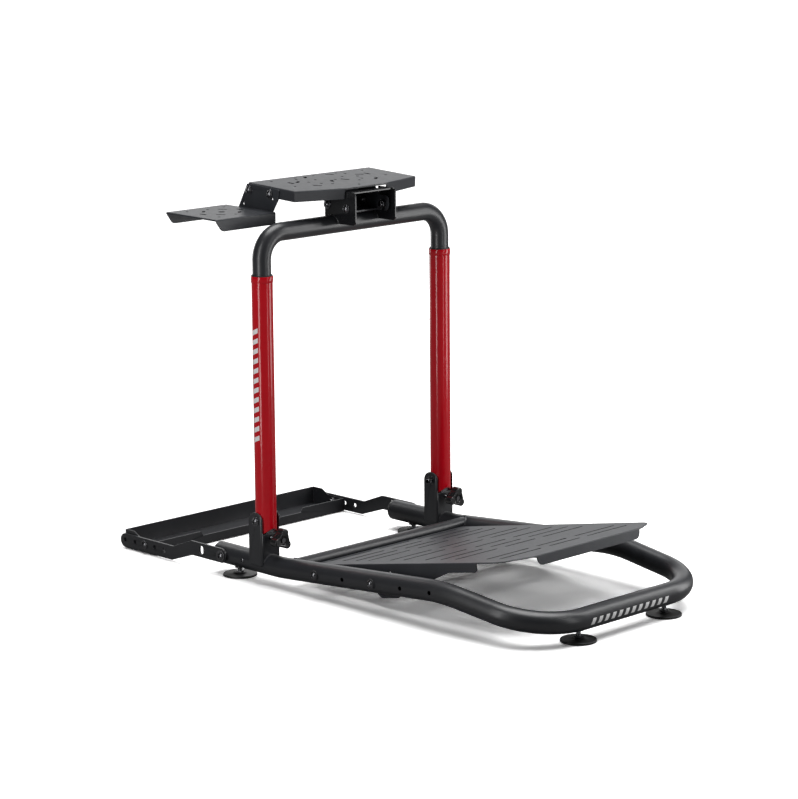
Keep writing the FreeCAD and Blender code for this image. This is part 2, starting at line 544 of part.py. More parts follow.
def shifter_plate():
    """One sheet: a vertical cheek on the wheel plate's right flank and a shelf with two skirts."""
    x0, x1 = DECK_HALF, DECK_HALF + SHIFT_T
    middle = (SHIFT_REAR + SHIFT_FRONT) / 2
    fall = math.tan(math.radians(SHIFT_ANGLE))
    under = SHIFT_TOP_Z - SHIFT_T / math.cos(math.radians(SHIFT_ANGLE))
    cheek = [(-112, 699), (-27, 694.5), (-31, 677), (-47, under + fall * (-47 - middle)),
             (-138, under + fall * (-138 - middle))]
    body = plate_yz(x0, x1, cheek, [3, 3, 6, 0, 0])
    body = round_folds(body, 2.6, lambda m, e: abs(m.x - x0) < 0.01 and m.z < under + 1 and e.Length > 50)
    shelf = plate_xy(-SHIFT_T, 0, [(x1, SHIFT_REAR), (SHIFT_OUT_X, SHIFT_REAR), (SHIFT_OUT_X, SHIFT_FRONT),
                                   (x1, SHIFT_FRONT)])
    for y, out in ((SHIFT_REAR, 1), (SHIFT_FRONT, -1)):
        skirt = [(x1, 0), (SHIFT_OUT_X, 0), (SHIFT_OUT_X - 2, -6), (SHIFT_OUT_X - 14, -SHIFT_FLANGE),
                 (x1, -SHIFT_FLANGE)]
        shelf = shelf.fuse(plate_xz(y, y + out * SHIFT_T, skirt, [0, 0, 9, 12, 4]))
    shelf = shelf.removeSplitter()
    shelf = round_folds(shelf, 2.6, lambda m, e: abs(m.z) < 0.01 and e.Length > 100
                        and (abs(m.y - SHIFT_REAR) < 0.01 or abs(m.y - SHIFT_FRONT) < 0.01))
    cutters = []
    for x, y in ((262, -148), (262, -62), (176, -148), (176, -62), (219, -143), (219, -67)):
        cutters.append(rod(2.8, V(x, y, -10), V(x, y, 5)))
    for x, y, turn in ((241, -128, 45), (241, -82, -45), (197, -128, -45), (197, -82, 45), (262, -105, 90),
                       (176, -105, 90)):
        cutters.append(slot_xy(x, y, 17, 5.6, -10, 5, turn))
    cutters.append(rod(6.0, V(219, -105, -10), V(219, -105, 5)))
    shelf = shelf.cut(cutters)
    shelf.rotate(V(0, middle, 0), X_AXIS, SHIFT_ANGLE)
    shelf.translate(V(0, 0, SHIFT_TOP_Z))
    body = body.fuse(shelf).removeSplitter()
    holes = [rod(BOLT_R, V(x0 - 10, y, z), V(x1 + 10, y, z)) for y, z in SHIFT_BOLTS]
    holes += [rod(2.2, V(x0 - 10, y, z), V(x1 + 10, y, z)) for y, z in ((-123, 662), (-46, 676.5))]
    return body.cut(holes)


def wheel_deck():
    holes = [rod(BOLT_R, V(DECK_HALF - 10, y, z), V(DECK_HALF + 10, y, z)) for y, z in SHIFT_BOLTS]
    save("wheel_plate", wheel_plate().cut(holes))
    save("deck_hanger", deck_hanger())
    save("shifter_plate", shifter_plate())
    bolts, washers, nuts = [], [], []
    for y, z in SHIFT_BOLTS:
        seat = V(DECK_HALF + SHIFT_T, y, z)
        washers.append(washer(seat, X_AXIS))
        bolts.append(button_bolt(seat + X_AXIS * 1.6, X_AXIS, 16))
        nuts.append(nut(V(DECK_HALF - DECK_T, y, z), X_AXIS * -1))
    save("shifter_bolts", *bolts)
    save("shifter_washers", *washers)
    save("shifter_nuts", *nuts)


# ---------------------------------------------------------------- pedal deck
def to_pedal_local(y, z):
    a = math.radians(PEDAL_ANGLE)
    dz = z - PEDAL_ZERO_Z
    return y * math.cos(a) + dz * math.sin(a), -y * math.sin(a) + dz * math.cos(a)


def pedal_plate():
    """Slotted plate drawn flat with its top at z = 0, then tilted up to the front."""
    rim = [(PEDAL_HALF, PEDAL_REAR), (PEDAL_HALF, PEDAL_CHAMFER), (PEDAL_NOSE, PEDAL_FRONT),
           (-PEDAL_NOSE, PEDAL_FRONT), (-PEDAL_HALF, PEDAL_CHAMFER), (-PEDAL_HALF, PEDAL_REAR)]
    body = plate_xy(-PEDAL_T, 0, rim, [4, 28, 9, 9, 28, 4])
    ps, pt = to_pedal_local(PEDAL_PIVOT_Y, rail_z(PEDAL_PIVOT_Y))
    ls, lt = to_pedal_local(PEDAL_LOCK_Y, rail_z(PEDAL_LOCK_Y))
    flank = [(PEDAL_REAR + 14, 0), (498, 0), (498, -17), (430, -17), (396, -27), (ls + 22, lt - 20),
             (ls + 16, lt - 34), (ls - 30, lt - 34), (ls - 62, lt + 2), (ps + 16, pt - 15), (ps - 18, pt - 15)]
    radii = [0, 0, 6, 20, 20, 14, 10, 12, 20, 12, 12]
    for side, _ in SIDES:
        out = side * PEDAL_HALF
        body = body.fuse(plate_yz(out - side * PEDAL_T, out, flank, radii))
    lip = [(-PEDAL_NOSE + 5, 0), (PEDAL_NOSE - 5, 0), (PEDAL_NOSE - 8, -18), (-PEDAL_NOSE + 8, -18)]
    body = body.fuse(plate_xz(PEDAL_FRONT - PEDAL_T, PEDAL_FRONT, lip, [0, 0, 12, 12])).removeSplitter()
    body = round_folds(body, 2.0, lambda m, e: abs(m.z) < 0.01 and e.Length > 200 and (
        abs(abs(m.x) - PEDAL_HALF) < 0.01 or abs(m.y - PEDAL_FRONT) < 0.01))
    cutters = []
    for s in PEDAL_ROWS:
        cutters.append(slot_xy(0, s, 76, 6.2, -10, 5))
        for side, _ in SIDES:
            cutters.append(slot_xy(side * 109, s, 102, 6.2, -10, 5))
    for side, _ in SIDES:
        x0 = side * PEDAL_HALF - 10
        cutters.append(rod(BOLT_R + RUN_FIT, V(x0, ps, pt), V(x0 + 20, ps, pt)))
        cutters += arc_slot(ps, pt, ls, lt, -8.0, 3.5, x0 + 20, x0)
    return tilted(body.cut(cutters), PEDAL_ANGLE, PEDAL_ZERO_Z)


# ---------------------------------------------------------------- castor tray
def tray_arm(side):
    x0 = side * ARM_IN
    low, h = ARM_LOW_Z, ARM_HALF_H
    high = RAIL_Z + 0.8
    strip = [(ARM_END_Y - h, low + h), (-232, low + h), (-181, high + h), (ARM_PIVOT_Y + h, high + h),
             (ARM_PIVOT_Y + h, high - h), (-178, high - h), (-236, low - h), (ARM_END_Y - h, low - h)]
    body = plate_yz(x0, x0 + side * ARM_T, strip, [h - 0.2, 10, 10, h - 0.2, h - 0.2, 10, 10, h - 0.2])
    cutters = []
    for k, r in ((-2, 4.0), (-1, 4.0), (1, 4.2), (2, 4.2)):
        y = TRAY_BOLT_Y + k * ARM_HOLE_PITCH
        cutters.append(rod(r, V(x0 - 10, y, TRAY_BOLT_Z), V(x0 + 10, y, TRAY_BOLT_Z)))
    cutters.append(rod(BOLT_R, V(x0 - 10, TRAY_BOLT_Y, TRAY_BOLT_Z), V(x0 + 10, TRAY_BOLT_Y, TRAY_BOLT_Z)))
    cutters.append(rod(BOLT_R + RUN_FIT, V(x0 - 10, ARM_PIVOT_Y, RAIL_Z), V(x0 + 10, ARM_PIVOT_Y, RAIL_Z)))
    window = plate_yz(x0 - 10, x0 + 10, [(-157, 28), (-147, 28), (-147, 44), (-157, 44)], [4.9] * 4)
    return body.cut(cutters + [window])


def castor_tray():
    """Folded tray: tall rear wall, flat floor, low front lip and two end plates."""
    t = TRAY_T
    w = TRAY_HALF
    floor = box(-w, w, TRAY_REAR, TRAY_LIP, TRAY_FLOOR_Z, TRAY_FLOOR_Z + t)
    wall = box(-w, w, TRAY_REAR, TRAY_REAR + t, TRAY_FLOOR_Z, TRAY_WALL_Z)
    lip_pts = [(-w, TRAY_FLOOR_Z), (w, TRAY_FLOOR_Z), (w, TRAY_LIP_Z), (130, TRAY_LIP_Z), (124, TRAY_MID_Z),
               (-124, TRAY_MID_Z), (-130, TRAY_LIP_Z), (-w, TRAY_LIP_Z)]
    lip = plate_xz(TRAY_LIP - t, TRAY_LIP, lip_pts, [0, 0, 2, 3, 3, 3, 3, 2])
    body = floor.fuse([wall, lip])
    tab = TRAY_REAR - 5.5
    end = [(TRAY_REAR, TRAY_FLOOR_Z), (TRAY_LIP, TRAY_FLOOR_Z), (TRAY_LIP, TRAY_LIP_Z), (-331, TRAY_LIP_Z),
           (-349, TRAY_WALL_Z), (TRAY_REAR, TRAY_WALL_Z), (TRAY_REAR, 27), (tab, 22.5), (tab, 8.5)]
    for side, _ in SIDES:
        plate = plate_yz(side * (w - t), side * w, end, [0, 0, 3, 9, 9, 0, 0, 2, 2])
        hole = rod(BOLT_R, V(side * w - 20, TRAY_BOLT_Y, TRAY_BOLT_Z), V(side * w + 20, TRAY_BOLT_Y, TRAY_BOLT_Z))
        body = body.fuse(plate).cut(hole)
    return body.removeSplitter()


def tray_group():
    for side, name in SIDES:
        save("tray_arm_" + name, tray_arm(side))
    save("castor_tray", castor_tray())
    bolts, washers, nuts = [], [], []
    for side, _ in SIDES:
        out = X_AXIS * side
        seat = V(side * (ARM_IN + ARM_T), TRAY_BOLT_Y, TRAY_BOLT_Z)
        washers.append(washer(seat, out))
        bolts.append(button_bolt(seat + out * 1.6, out, 18))
        gap = V(side * TRAY_HALF, TRAY_BOLT_Y, TRAY_BOLT_Z)
        washers.append(washer(gap, out, ARM_IN - TRAY_HALF))
        nuts.append(nut(V(side * (TRAY_HALF - TRAY_T), TRAY_BOLT_Y, TRAY_BOLT_Z), out * -1))
    save("tray_bolts", *bolts)
    save("tray_washers", *washers)
    save("tray_nuts", *nuts)


os.makedirs("parts", exist_ok=True)
rail_solid = base_frame()
for side_sign, side_name in SIDES:
    save("pivot_bracket_" + side_name, pivot_bracket(side_sign, rail_solid))
pivot_hardware()
rail_hardware()
feet(rail_solid)
upright_pieces()
knobs()
height_frame()
wheel_deck()
save("pedal_plate", pedal_plate())
tray_group()
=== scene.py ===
"""Folding stand for a racing wheel: materials, welds, threads, feet, knobs, prints, light and camera."""
import json
import math
import bpy
from mathutils import Matrix, Vector


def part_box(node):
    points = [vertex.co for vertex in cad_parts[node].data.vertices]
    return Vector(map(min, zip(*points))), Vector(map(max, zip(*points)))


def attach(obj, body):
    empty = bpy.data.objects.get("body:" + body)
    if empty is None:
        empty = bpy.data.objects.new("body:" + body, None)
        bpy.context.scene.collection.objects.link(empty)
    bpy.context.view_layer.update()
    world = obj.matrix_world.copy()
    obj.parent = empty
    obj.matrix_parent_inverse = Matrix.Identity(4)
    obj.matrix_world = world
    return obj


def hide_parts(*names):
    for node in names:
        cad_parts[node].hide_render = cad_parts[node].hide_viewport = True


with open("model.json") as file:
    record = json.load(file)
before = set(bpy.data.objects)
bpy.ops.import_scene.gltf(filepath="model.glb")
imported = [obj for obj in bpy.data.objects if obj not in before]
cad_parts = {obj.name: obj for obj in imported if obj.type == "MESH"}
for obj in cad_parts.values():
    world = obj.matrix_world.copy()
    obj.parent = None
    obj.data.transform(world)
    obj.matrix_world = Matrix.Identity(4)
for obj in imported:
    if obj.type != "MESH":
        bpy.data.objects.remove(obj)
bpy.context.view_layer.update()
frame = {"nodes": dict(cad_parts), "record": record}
NODES = frame["nodes"]
SCENE = bpy.context.scene
MM = 0.001
SIDES = ((1, "right"), (-1, "left"))          # sign of X, name
FEET = ("rear_right", "rear_left", "front_right", "front_left")


# ---------------------------------------------------------------- places read from the frame
def centre(node):
    low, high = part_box(node)
    return (low + high) / 2


def size(node):
    low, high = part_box(node)
    return high - low


UPRIGHT_R = size("upright_right").x / 2
HALF = centre("upright_right").x
RAIL_R = size("rail_end_caps").z / 2
RAIL_Z = centre("rail_end_caps").z
INNER_R = size("inner_u_tube").y / 2
CROSS_R = size("cross_tube").z / 2
CROSS = centre("cross_tube")
FRONT_BAR_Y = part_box("base_tube")[1].y - RAIL_R
FRONT_BAR_Z = 38.8 * MM
RAIL_RISE, RISE_START_Y = 0.08, 40 * MM      # the rails climb forwards of this line
BAR_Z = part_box("inner_u_tube")[1].z - INNER_R


# ---------------------------------------------------------------- camera
CAMERA_AZ, CAMERA_EL, CAMERA_ROLL = 135.65, 11.56, -0.45
CAMERA_PLACE = Vector((3.47015, 3.66455, 1.33145))
CAMERA_LENS = 127.82


def make_camera():
    a, e, r = (math.radians(v) for v in (CAMERA_AZ, CAMERA_EL, CAMERA_ROLL))
    back = Vector((math.sin(a) * math.cos(e), -math.cos(a) * math.cos(e), math.sin(e)))
    right0 = Vector((math.cos(a), math.sin(a), 0))
    up0 = back.cross(right0)
    right = right0 * math.cos(r) + up0 * math.sin(r)
    up = up0 * math.cos(r) - right0 * math.sin(r)
    data = bpy.data.cameras.new("camera")
    data.sensor_width = 36.0
    data.lens = CAMERA_LENS
    data.clip_end = 100.0
    camera = bpy.data.objects.new("camera", data)
    SCENE.collection.objects.link(camera)
    turn = Matrix((right, up, back)).transposed().to_4x4()
    camera.matrix_world = Matrix.Translation(CAMERA_PLACE) @ turn
    SCENE.camera = camera


# ---------------------------------------------------------------- light and floor
def soft_box(name, angle, distance, height, width, tall, radiance, target):
    """A rectangular lamp round the object with a given brightness; the camera itself doesn't see it."""
    data = bpy.data.lights.new(name, "AREA")
    data.shape = "RECTANGLE"
    data.size, data.size_y = width, tall
    data.energy = radiance * math.pi * width * tall
    light = bpy.data.objects.new(name, data)
    SCENE.collection.objects.link(light)
    light.location = round_object(angle, distance, height)
    light.rotation_euler = (Vector(target) - light.location).to_track_quat("-Z", "Y").to_euler()
    light.visible_camera = False


def round_object(angle, distance, height):
    """A place round the object: angle in degrees from the camera's side, positive to the camera's right."""
    a = math.radians(CAMERA_AZ + angle)
    return Vector((math.sin(a) * distance, -math.cos(a) * distance, height))


def make_light():
    world = bpy.data.worlds.new("studio")
    SCENE.world = world
    world.use_nodes = True
    background = world.node_tree.nodes["Background"]
    background.inputs["Color"].default_value = (1.0, 1.0, 1.0, 1.0)
    background.inputs["Strength"].default_value = 0.05
    sky = bpy.data.lights.new("overhead", "SUN")
    sky.energy = 3.0
    sky.angle = math.radians(48)
    overhead = bpy.data.objects.new("overhead", sky)
    SCENE.collection.objects.link(overhead)
    overhead.rotation_euler = (round_object(160, 0.6, 3.4)).to_track_quat("Z", "Y").to_euler()
    soft_box("left_strip", -37, 1.35, 0.8, 0.24, 1.6, 6.6, (0, 0, 0.8))
    soft_box("right_strip", 49, 1.5, 0.8, 0.12, 1.5, 5.0, (0, 0, 0.8))
    soft_box("right_box", 90, 1.4, 0.85, 0.5, 1.6, 4.4, (0, 0, 0.85))
    soft_box("left_box", -140, 1.6, 0.9, 0.5, 1.6, 2.0, (0, 0, 0.9))
    soft_box("back_card", 178, 3.2, 1.25, 4.0, 1.5, 1.3, (0, 0, 0.45))


def make_floor():
    """A white sheet to the camera that throws little light back up, as a lit sweep would."""
    reach = 40.0
    mesh = bpy.data.meshes.new("floor")
    corners = [(-reach, -reach, 0), (reach, -reach, 0), (reach, reach, 0), (-reach, reach, 0)]
    mesh.from_pydata(corners, [], [(0, 1, 2, 3)])
    floor = bpy.data.objects.new("floor", mesh)
    SCENE.collection.objects.link(floor)
    material = bpy.data.materials.new("studio_floor")
    material.use_nodes = True
    tree = material.node_tree
    tree.nodes.remove(tree.nodes["Principled BSDF"])
    seen = linked(tree, "ShaderNodeBsdfDiffuse", Color=(1.45, 1.45, 1.45, 1))
    bounce = linked(tree, "ShaderNodeBsdfDiffuse", Color=(0.18, 0.18, 0.18, 1))
    mix = linked(tree, "ShaderNodeMixShader")
    tree.links.new(linked(tree, "ShaderNodeLightPath").outputs["Is Camera Ray"], mix.inputs[0])
    tree.links.new(bounce.outputs[0], mix.inputs[1])
    tree.links.new(seen.outputs[0], mix.inputs[2])
    tree.links.new(mix.outputs[0], tree.nodes["Material Output"].inputs["Surface"])
    mesh.materials.append(material)


# ---------------------------------------------------------------- materials
def linked(tree, kind, **values):
    node = tree.nodes.new(kind)
    for key, value in values.items():
        name = key.replace("_", " ")
        if name in node.inputs:
            node.inputs[name].default_value = value
        else:
            setattr(node, key, value)
    return node


def coated(name, colour, roughness, grain=0.6 * MM, bump=0.12, spread=0.05, tint=0.12, metallic=0.0,
           coat=0.0, coat_roughness=0.1, specular=0.5):
    """A sprayed or moulded surface: fine bump at the grain's size, slow change of tone, uneven gloss."""
    material = bpy.data.materials.new(name)
    material.use_nodes = True
    tree = material.node_tree
    shader = tree.nodes["Principled BSDF"]
    shader.inputs["Metallic"].default_value = metallic
    shader.inputs["Specular IOR Level"].default_value = specular
    shader.inputs["Coat Weight"].default_value = coat
    shader.inputs["Coat Roughness"].default_value = coat_roughness
    place = linked(tree, "ShaderNodeTexCoord").outputs["Object"]

    broad = linked(tree, "ShaderNodeTexNoise", Scale=14.0, Detail=3.0, Roughness=0.55)
    tree.links.new(place, broad.inputs["Vector"])
    tone = linked(tree, "ShaderNodeValToRGB")
    dark = [c * (1 - tint) for c in colour] + [1]
    light = [min(1, c * (1 + tint)) for c in colour] + [1]
    tone.color_ramp.elements[0].color = dark
    tone.color_ramp.elements[0].position = 0.3
    tone.color_ramp.elements[1].color = light
    tone.color_ramp.elements[1].position = 0.7
    tree.links.new(broad.outputs["Fac"], tone.inputs["Fac"])
    tree.links.new(tone.outputs["Color"], shader.inputs["Base Color"])

    speck = linked(tree, "ShaderNodeTexNoise", Scale=120.0, Detail=2.0)
    tree.links.new(place, speck.inputs["Vector"])
    gloss = linked(tree, "ShaderNodeMapRange")
    gloss.inputs["To Min"].default_value = roughness - spread
    gloss.inputs["To Max"].default_value = roughness + spread
    tree.links.new(speck.outputs["Fac"], gloss.inputs["Value"])
    tree.links.new(gloss.outputs["Result"], shader.inputs["Roughness"])

    peel = linked(tree, "ShaderNodeTexNoise", Scale=1.0 / grain, Detail=2.0)
    tree.links.new(place, peel.inputs["Vector"])
    height = linked(tree, "ShaderNodeBump", Strength=bump)
    height.inputs["Distance"].default_value = grain * 0.25
    tree.links.new(peel.outputs["Fac"], height.inputs["Height"])
    tree.links.new(height.outputs["Normal"], shader.inputs["Normal"])
    return material


MAT = {
    "black_powder_coat": coated("black_powder_coat", (0.020, 0.0212, 0.0245), 0.35, specular=0.65),
    # Plate coat: a black powder coat painted lighter than the tubes' coat; the extra lightness is painted
    # sheen, standing in for the light that the flat plate tops catch from above.
    "black_plate_coat": coated("black_plate_coat", (0.034, 0.0365, 0.0425), 0.40, grain=0.5 * MM),
    "gloss_black": coated("gloss_black", (0.010, 0.0105, 0.012), 0.20, bump=0.06),
    "red_powder_coat": coated("red_powder_coat", (0.55, 0.0, 0.008), 0.5, grain=0.9 * MM, bump=0.05,
                              tint=0.05, coat=1.0, coat_roughness=0.16, specular=0.0),
    "black_bolt_steel": coated("black_bolt_steel", (0.17, 0.17, 0.18), 0.24, metallic=1.0, bump=0.05,
                               spread=0.06),
    "zinc_steel": coated("zinc_steel", (0.66, 0.67, 0.69), 0.28, metallic=1.0, bump=0.05, tint=0.06),
    "nylon": coated("nylon", (0.022, 0.022, 0.024), 0.5, bump=0.08),
    "black_plastic": coated("black_plastic", (0.010, 0.010, 0.011), 0.14, grain=0.4 * MM, bump=0.06,
                            specular=0.8),
    "foot_rubber": coated("foot_rubber", (0.008, 0.008, 0.0085), 0.45, grain=0.4 * MM, bump=0.2),
    "weld": coated("weld", (0.024, 0.0252, 0.0285), 0.32, bump=0.08),
    "white_print": coated("white_print", (0.86, 0.86, 0.86), 0.45, bump=0.04, tint=0.02),
}


def break_edges(node, width):
    """Joins the mesh's split seams and rounds every sharp edge by a small radius."""
    weld = node.modifiers.new("weld", "WELD")
    weld.merge_threshold = 0.002 * MM
    bevel = node.modifiers.new("broken_edges", "BEVEL")
    bevel.width = width
    bevel.segments = 2
    bevel.limit_method = "ANGLE"
    bevel.angle_limit = math.radians(38)
    bevel.use_clamp_overlap = False
    bevel.harden_normals = True


FASTENERS = ("pivot_bolts", "pivot_washers", "pivot_nuts", "pedal_bolts", "rail_nuts", "tray_arm_bolts",
             "tray_arm_washers", "rail_screws", "height_lock_bolts", "tilt_pivot_bolts", "tilt_pivot_washers",
             "tilt_pivot_nuts", "tilt_lock_bolts", "tilt_lock_washers", "tilt_lock_nuts", "shifter_bolts",
             "shifter_washers", "shifter_nuts", "tray_bolts", "tray_washers", "tray_nuts")
EDGE_RADIUS = {"pivot_bracket_right": 0.5, "pivot_bracket_left": 0.5, "deck_cradle": 0.5, "deck_hanger": 0.4,
               "wheel_plate": 0.4, "shifter_plate": 0.5, "castor_tray": 0.4,
               "tray_arm_right": 0.6, "tray_arm_left": 0.6,
               "rail_end_caps": 0.5, "upright_collars": 0.35, "guide_bushes": 0.4, "lock_tongues": 0.4,
               "foot_inserts": 0.3, **{node: 0.3 for node in FASTENERS}}


def dress_frame():
    """Each CAD node takes its record slot's material, and the nodes listed in EDGE_RADIUS have their sharp
    edges broken.
    """
    for entry in frame["record"]["subparts"]:
        node = NODES[entry["node"]]
        node.data.materials.clear()
        node.data.materials.append(MAT[entry["material_slot"]])
        if entry["node"] in EDGE_RADIUS:
            break_edges(node, EDGE_RADIUS[entry["node"]] * MM)


# ---------------------------------------------------------------- mesh helpers
def make_piece(name, vertices, faces, material, body, slot=None, smooth=True):
    mesh = bpy.data.meshes.new(name)
    mesh.from_pydata([tuple(v) for v in vertices], [], faces)
    mesh.polygons.foreach_set("use_smooth", [smooth] * len(mesh.polygons))
    mesh.materials.append(MAT[material])
    mesh.update()
    piece = bpy.data.objects.new(name, mesh)
    SCENE.collection.objects.link(piece)
    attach(piece, body)
    return piece


def skin(rings, closed_rows=False):
    """Vertices and faces of a tube through equal rings: its ends are capped, or joined into a loop."""
    count = len(rings[0])
    vertices = [v for ring in rings for v in ring]
    faces = []
    last = len(rings) if closed_rows else len(rings) - 1
    for row in range(last):
        a, b = row * count, (row + 1) % len(rings) * count
        faces += [(a + k, a + (k + 1) % count, b + (k + 1) % count, b + k) for k in range(count)]
    if not closed_rows:
        faces.append(tuple(reversed(range(count))))
        faces.append(tuple(range((len(rings) - 1) * count, len(rings) * count)))
    return vertices, faces


def merge(parts):
    """Several (vertices, faces) pairs as one."""
    vertices, faces = [], []
    for points, polygons in parts:
        start = len(vertices)
        vertices += points
        faces += [tuple(start + k for k in polygon) for polygon in polygons]
    return vertices, faces


# ---------------------------------------------------------------- weld beads
BEAD_PITCH = 2.4 * MM


def bead(path, outward, radius, closed):
    """A row of overlapping weld ripples along a path; outward gives the bead's crown at each point."""
    rings = []
    travelled = 0.0
    for k, point in enumerate(path):
        before = path[k - 1] if closed or k else path[k]
        after = path[(k + 1) % len(path)] if closed or k + 1 < len(path) else path[k]
        along = (after - before).normalized()
        crown = (outward[k] - along * outward[k].dot(along)).normalized()
        side = along.cross(crown)
        travelled += (point - before).length if k else 0.0
        phase = travelled / BEAD_PITCH % 1.0
        swell = radius * (0.82 + 0.26 * math.sqrt(1.0 - phase))
        if not closed and k in (0, len(path) - 1):
            swell = radius * 0.35
        turns = [2 * math.pi * j / 8 for j in range(8)]
        rings.append([point + crown * (math.cos(t) * swell * 0.75) + side * (math.sin(t) * swell)
                      for t in turns])
    return skin(rings, closed)


def straight(start, end, step=0.6 * MM):
    count = max(2, int((end - start).length / step))
    return [start.lerp(end, k / count) for k in range(count + 1)]


def cross_tube_welds():
    """Round each end of the cross tube where it meets a rail."""
    beads = []
    for side, _ in SIDES:
        path, outward = [], []
        for k in range(120):
            t = 2 * math.pi * k / 120
            y, z = CROSS.y + CROSS_R * math.cos(t), CROSS.z + CROSS_R * math.sin(t)
            axis_z = RAIL_Z + RAIL_RISE * (y - RISE_START_Y)
            x = HALF - math.sqrt(RAIL_R ** 2 - min(RAIL_R, abs(z - axis_z)) ** 2)
            path.append(Vector((side * x, y, z)))
            outward.append(Vector((-side * 1.0, math.cos(t), math.sin(t))))
        beads.append(bead(path, outward, 2.3 * MM, True))
    make_piece("weld_cross_tube", *merge(beads), "weld", "base_frame", "black_powder_coat")


def bracket_welds():
    """Along both sides of each bracket where it stands on the rail, and over the rail at its front web."""
    for _, name in SIDES:
        low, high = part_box("pivot_bracket_" + name)
        cx = (low.x + high.x) / 2
        z = RAIL_Z + 0.6 * MM
        beads = []
        for s in (-1, 1):
            x = cx + s * (RAIL_R + 1.6 * MM)
            run = straight(Vector((x, low.y + 3 * MM, z)), Vector((x, high.y - 4 * MM, z)))
            beads.append(bead(run, [Vector((s, 0, -0.6))] * len(run), 2.0 * MM, False))
        path, outward = [], []
        for k in range(71):
            t = math.radians(22 + 136 * k / 70)
            path.append(Vector((cx + RAIL_R * math.cos(t), high.y + 0.2 * MM, RAIL_Z + RAIL_R * math.sin(t))))
            outward.append(Vector((math.cos(t), 1.0, math.sin(t))))
        beads.append(bead(path, outward, 1.4 * MM, False))
        make_piece("weld_bracket_" + name, *merge(beads), "weld", "base_frame", "black_powder_coat")


def cradle_welds():
    """Over the crossbar on both faces of each cradle ear."""
    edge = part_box("deck_cradle")[1].x
    thickness = 3 * MM
    beads = []
    for side, _ in SIDES:
        for x, face in ((edge, 1), (edge - thickness, -1)):
            path, outward = [], []
            for k in range(91):
                t = math.radians(8 + 164 * k / 90)
                reach = INNER_R + 0.3 * MM
                path.append(Vector((side * x, reach * math.cos(t), BAR_Z + reach * math.sin(t))))
                outward.append(Vector((side * face, math.cos(t), math.sin(t))))
            beads.append(bead(path, outward, 1.9 * MM, False))
    make_piece("weld_deck_cradle", *merge(beads), "weld", "height_frame", "black_powder_coat")


def hanger_welds():
    """Behind and in front of the hanger, under the wheel plate, which falls gently forwards."""
    low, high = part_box("deck_hanger")
    slope = math.tan(math.radians(-3.0))
    beads = []
    for y, face in ((low.y, -1), (low.y + 39 * MM, 1)):
        z = high.z + slope * (y - low.y)
        run = straight(Vector((low.x + 3 * MM, y, z)), Vector((high.x - 3 * MM, y, z)), 1.0 * MM)
        beads.append(bead(run, [Vector((0, face, -1))] * len(run), 1.7 * MM, False))
    make_piece("weld_deck_hanger", *merge(beads), "weld", "wheel_deck", "black_plate_coat")


def boss_welds():
    """A small bead round each height lock boss; the colour coat covers it."""
    low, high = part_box("height_lock_bosses")
    ring = 7.2 * MM
    beads = []
    for side, _ in SIDES:
        for z in (low.z + ring, high.z - ring):
            path, outward = [], []
            for k in range(60):
                t = 2 * math.pi * k / 60
                x = ring * math.cos(t)
                y = -math.sqrt(UPRIGHT_R ** 2 - x * x)
                path.append(Vector((side * HALF + x, y, z + ring * math.sin(t))))
                outward.append(Vector((math.cos(t), -1.0, math.sin(t))))
            beads.append(bead(path, outward, 1.2 * MM, True))
    make_piece("weld_lock_bosses", *merge(beads), "red_powder_coat", "uprights", "red_powder_coat")


# ---------------------------------------------------------------- screw threads
BOLT_R, THREAD_PITCH, THREAD_DEPTH = 4.0 * MM, 1.25 * MM, 0.32 * MM


def thread(start, end):
    """A rolled thread on a bolt's shank between two points, with a chamfered tip at the end."""
    axis = (end - start).normalized()
    side = axis.orthogonal().normalized()
    other = axis.cross(side)
    length = (end - start).length
    rows = max(6, int(length / (THREAD_PITCH / 6)))
    rings = []
    for row in range(rows + 1):
        travel = length * row / rows
        fade = min(1.0, (length - travel) / (0.9 * MM))
        ring = []
        for k in range(18):
            turn = 2 * math.pi * k / 18
            phase = (travel / THREAD_PITCH - k / 18) % 1.0
            lift = THREAD_DEPTH * (1 - abs(2 * phase - 1)) * fade
            reach = BOLT_R - 0.04 * MM + lift
            ring.append(start + axis * travel + side * (reach * math.cos(turn))
                        + other * (reach * math.sin(turn)))
        rings.append(ring)
    return skin(rings)


NUT_FLAT, NUT_CORNER = 6.5 * MM, 7.5 * MM     # half sizes across flats and corners


def nut_centres(node, pairs, falling=False):
    """Heights and lengths (y, z) of a node's nuts: one place, or two along Y."""
    low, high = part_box(node)
    if pairs == 1:
        return [((low.y + high.y) / 2, (low.z + high.z) / 2)]
    ends = [(low.y + NUT_FLAT, low.z + NUT_CORNER), (high.y - NUT_FLAT, high.z - NUT_CORNER)]
    if falling:
        ends = [(low.y + NUT_FLAT, high.z - NUT_CORNER), (high.y - NUT_FLAT, low.z + NUT_CORNER)]
    return ends


THREADED_NUTS = (  # node, body, places along Y, nut thickness, thread past the nut, sides
    ("pivot_nuts", "base_frame", 1, 6.4, 2.4, SIDES),
    ("rail_nuts", "base_frame", 2, 5.0, 4.6, SIDES),
    ("tilt_pivot_nuts", "height_frame", 1, 6.4, 3.8, SIDES),
    ("tilt_lock_nuts", "height_frame", 1, 6.4, 3.8, SIDES),
    ("shifter_nuts", "wheel_deck", 2, 6.4, 2.0, SIDES[:1]),
    ("tray_nuts", "castor_tray_frame", 1, 6.4, 3.6, SIDES))


def bolt_threads():
    """The threaded end of each bolt, where it shows past its nut."""
    for node, body, pairs, thickness, proud, sides in THREADED_NUTS:
        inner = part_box(node)[1].x - thickness * MM
        parts = []
        for side, _ in sides:
            for y, z in nut_centres(node, pairs, node == "shifter_nuts"):
                start = Vector((side * (inner + 1 * MM), y, z))
                parts.append(thread(start, Vector((side * (inner - proud * MM), y, z))))
        make_piece("thread_" + node, *merge(parts), "black_bolt_steel", body, "black_bolt_steel")


